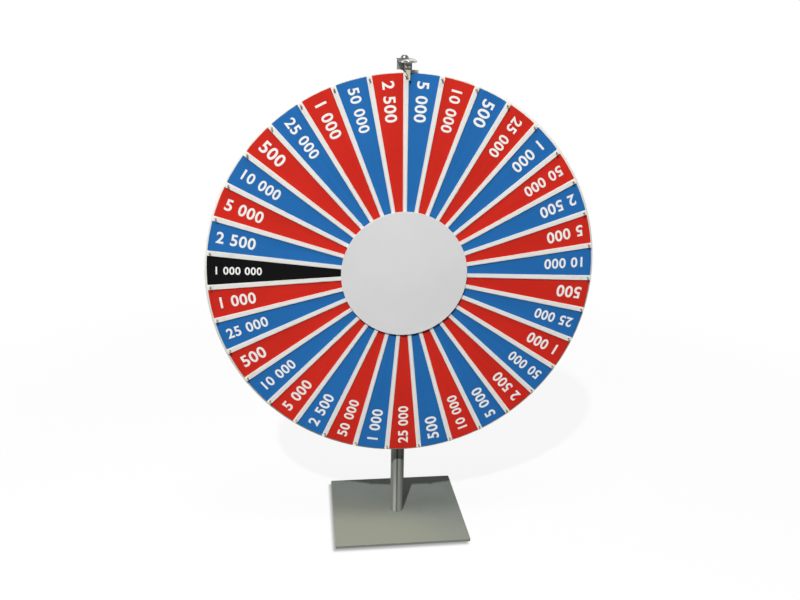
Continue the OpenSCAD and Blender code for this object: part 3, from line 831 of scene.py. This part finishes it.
def flapper_tongue(material):
    """The flapper, cut into rows up to just below its clamp, clear of the peg beside it."""
    low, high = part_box("flapper")
    clamp_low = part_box("clamp_plate")[0].z
    shape = bmesh.new()
    shape.from_mesh(nodes["flapper"].data)
    bmesh.ops.remove_doubles(shape, verts=shape.verts, dist=WELD_DISTANCE)
    sharp = [e for e in shape.edges if len(e.link_faces) == 2 and e.calc_face_angle() > SHARP_EDGE]
    bmesh.ops.bevel(
        shape, geom=sharp, offset=FLAPPER_ROUNDING, segments=ROUNDING_STEPS, profile=0.5, affect="EDGES",
        clamp_overlap=True,
    )
    for i in range(1, FLAPPER_ROWS):
        z = low.z + (clamp_low - low.z) * i / FLAPPER_ROWS
        everything = shape.verts[:] + shape.edges[:] + shape.faces[:]
        bmesh.ops.bisect_plane(
            shape, geom=everything, dist=CUT_TOLERANCE, plane_co=(0, 0, z), plane_no=(0, 0, 1)
        )
    made = piece("flapper_tongue", shape, material, None)
    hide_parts("flapper")
    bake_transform(made)


# Rounded edges of the CAD nodes, in millimetres
EDGE_ROUNDING = {
    "base_plate": 1.0, "post_tube": 0.5, "pointer_arm": 0.6, "arm_washer": 0.25,
    "flapper_bracket": 0.35, "clamp_plate": 0.3, "front_saddle": 0.5, "rear_saddle": 0.5,
    "axle": 0.4, "hub": 0.6, "cover_disc": 0.5, "cover_ring": 0.5, "divider_strips": 0.45,
    "red_panels": 0.25, "blue_panels": 0.25, "black_panel": 0.25, "base_feet": 0.4,
}


def round_edges(node, width):
    """Rounds a CAD node's sharp edges by modifiers."""
    thing = nodes[node]
    join = thing.modifiers.new("join", "WELD")
    join.merge_threshold = WELD_DISTANCE
    bevel = thing.modifiers.new("edges", "BEVEL")
    bevel.width = width * MM
    bevel.segments = ROUNDING_STEPS
    bevel.limit_method = "ANGLE"
    bevel.angle_limit = SHARP_EDGE
    shade = thing.modifiers.new("shade", "WEIGHTED_NORMAL")
    shade.keep_sharp = False


# Studio: the key lamp casts the shadow, overhead is soft, side and back light the wheel's rim and rear.
# Each has its azimuth to the left and elevation in degrees, distance and size in metres, and watts.
LAMPS = {
    "key": (18, 45, 6.0, 0.2, 348),
    "overhead": (0, 76, 5.0, 1.9, 90),
    "side": (112, -0.5, 6.0, 0.8, 140),
    "back": (165, -3.8, 6.0, 0.16, 165),
}
LAMP_TARGET = Vector((0, 0, 0.5))
FILL_STRENGTH = 0.09
ROOM_DIMMING = 0.85
ROOM_EDGES = (0.05, 0.6)

# Floor: its glow for the camera, how far out it turns to backdrop, and the painted shadow round the plate
FLOOR_R = 14.0
FLOOR_STEPS = 96
FLOOR_GLOW = 0.885
FLOOR_FADE = (0.9, 2.4)
FLOOR_PALE = 0.9
FLOOR_BOUNCE = 0.15
CONTACT_DARK = 0.02
CONTACT_DEPTH = 0.6
CONTACT_SHIFT = 6 * MM
CONTACT_REACH_X = 12 * MM
CONTACT_REACH_Y = 16 * MM


def make_lamp(name, azimuth, elevation, distance, size, power):
    """Round area lamp that points at the target."""
    data = bpy.data.lights.new(name, "AREA")
    data.shape = "DISK"
    data.size = size
    data.energy = power
    around = math.radians(azimuth)
    rise = math.radians(elevation)
    toward = Vector((
        -math.sin(around) * math.cos(rise),
        -math.cos(around) * math.cos(rise),
        math.sin(rise),
    ))
    lamp = bpy.data.objects.new(name, data)
    lamp.location = LAMP_TARGET + toward * distance
    lamp.rotation_mode = "QUATERNION"
    lamp.rotation_quaternion = toward.to_track_quat("Z", "Y")
    bpy.context.scene.collection.objects.link(lamp)


def make_world():
    """White all round for the camera and for gloss, with a dim room behind the camera in the gloss."""
    world = bpy.data.worlds.new("studio")
    bpy.context.scene.world = world
    w = NodeTree(world)
    camera, gloss = w.rays()
    toward = w.parts(w.add("ShaderNodeTexCoord", {}, {}, "Generated"))
    room = 1 - (0 - toward[1]).band(*ROOM_EDGES) * ROOM_DIMMING
    level = camera + (1 - camera) * (gloss * room + (1 - gloss) * FILL_STRENGTH)
    back = w.nodes["Background"]
    w.put(back.inputs["Color"], (1, 1, 1, 1))
    w.put(back.inputs["Strength"], level)


def grey(level):
    return (level, level, level, 1.0)


def make_floor():
    """Pale floor that keeps the shadow, with a painted shadow round the plate, and turns to white
    backdrop further out.
    """
    shape = bmesh.new()
    bmesh.ops.create_circle(shape, cap_ends=True, segments=FLOOR_STEPS, radius=FLOOR_R)
    f = Finish("pale_floor")
    at = f.parts(f.place())
    radius = (at[0] ** 2 + at[1] ** 2) ** 0.5
    camera, gloss = f.rays()
    pale = f.add("ShaderNodeBsdfDiffuse", {}, {"Color": grey(FLOOR_PALE)})
    bounce = f.add("ShaderNodeBsdfDiffuse", {}, {"Color": grey(FLOOR_BOUNCE)})
    glow = f.add("ShaderNodeEmission", {}, {"Strength": 1.0})
    dark = f.add("ShaderNodeBsdfDiffuse", {}, {"Color": grey(CONTACT_DARK)})
    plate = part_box("base_plate")[1]
    # Painted shadow: the floor is darkened round the plate, more to the left and front
    aside = (abs(at[0] + CONTACT_SHIFT) - plate.x + CONTACT_SHIFT) / CONTACT_REACH_X
    ahead = (abs(at[1] + CONTACT_SHIFT) - plate.y + CONTACT_SHIFT) / CONTACT_REACH_Y
    painted_contact_shadow = 1 - ((aside.larger(0.0) ** 2 + ahead.larger(0.0) ** 2) ** 0.5).band(0.0, 1.0)
    share = FLOOR_GLOW + radius.band(*FLOOR_FADE) * (1 - FLOOR_GLOW)
    lit = f.add("ShaderNodeMixShader", {}, {0: share, 1: pale, 2: glow})
    shown = f.add("ShaderNodeMixShader", {}, {0: painted_contact_shadow * CONTACT_DEPTH, 1: lit, 2: dark})
    surface = f.add("ShaderNodeMixShader", {}, {0: camera.larger(gloss), 1: bounce, 2: shown})
    out = f.nodes["Material Output"]
    f.put(out.inputs["Surface"], surface)
    f.nodes.remove(f.shader)
    mesh = bpy.data.meshes.new("floor")
    shape.to_mesh(mesh)
    shape.free()
    mesh.materials.append(f.material)
    floor = bpy.data.objects.new("floor", mesh)
    bpy.context.scene.collection.objects.link(floor)


# Building
make_camera()

ZINC = zinc_plating()
URETHANE = cast_urethane()
ARM_STEEL = drawn_steel("arm_steel", srgb(196, 195, 191), 0.16, (900, 6, 900), painted_rear_shade=True)
CLAMP_STEEL = drawn_steel("clamp_steel", srgb(128, 127, 123), 0.24, (900, 900, 6))
BOLT_STEEL = drawn_steel("bolt_steel", srgb(126, 125, 122), 0.16, (500, 500, 120))
PEG_STEEL = drawn_steel("peg_steel", srgb(174, 158, 126), 0.26, (400, 60, 400))
BARE_STEEL = drawn_steel("bare_steel", srgb(164, 164, 162), 0.3, (500, 500, 120))
FINISH_OF_SLOT = {
    "plate_paint": plate_enamel(),
    "rubber": foot_rubber(),
    "post_steel": post_enamel(),
    "bare_steel": BARE_STEEL,
    "zinc": ZINC,
    "bearing_steel": polished_steel(),
    "hub_metal": turned_aluminium(),
    "board_white": board_laminate(),
    "edging_white": edging_plastic(),
    "divider_white": divider_plastic(),
    "peg_metal": PEG_STEEL,
    "print_red": panel_print("red_print", srgb(206, 43, 32), srgb(226, 110, 100)),
    "print_blue": panel_print("blue_print", srgb(38, 107, 175), srgb(120, 166, 210)),
    "print_black": panel_print("black_print", srgb(13, 13, 14), srgb(56, 56, 58)),
    "cover_white": cover_film(),
    "flapper_soft": URETHANE,
}
for thing in nodes.values():
    slot = thing.material_slots[0]
    slot.material = FINISH_OF_SLOT[slot.material.name]
nodes["pointer_arm"].material_slots[0].material = ARM_STEEL
nodes["flapper_bracket"].material_slots[0].material = CLAMP_STEEL
nodes["clamp_plate"].material_slots[0].material = CLAMP_STEEL

for name, width in EDGE_ROUNDING.items():
    round_edges(name, width)

flapper_tongue(URETHANE)
panel_numbers()
fasteners(
    "arm_button_bolt", "arm_bolt", "stand", BOLT_STEEL, button_screw, UP,
    d=10 * MM, pitch=1.5 * MM, plain=9 * MM,
)
fasteners(
    "bracket_socket_screw", "bracket_screw", "stand", ZINC, countersunk_screw, SLOPE,
    d=5 * MM, pitch=0.8 * MM,
)
fasteners("bracket_hex_nut", "bracket_nut", "stand", ZINC, hex_nut, SLOPE, d=5 * MM)
fasteners(
    "clamp_button_screws", "clamp_screws", "stand", ZINC, button_screw, FRONT,
    d=3 * MM, pitch=0.5 * MM, plain=1 * MM,
)
fasteners("clamp_hex_nuts", "clamp_nuts", "stand", ZINC, hex_nut, REAR, d=3 * MM)
fasteners("axle_hex_nut", "axle_nut", "stand", ZINC, hex_nut, REAR, d=12 * MM)
fasteners(
    "threaded_hub_bolts", "hub_bolts", "wheel", ZINC, hex_bolt, FRONT,
    d=6 * MM, pitch=1 * MM, plain=12 * MM,
)
fasteners("hub_hex_nuts", "hub_nuts", "wheel", ZINC, hex_nut, REAR, d=6 * MM)

make_floor()
make_world()
for name, values in LAMPS.items():
    make_lamp(name, *values)

bpy.context.scene.view_settings.view_transform = "Standard"
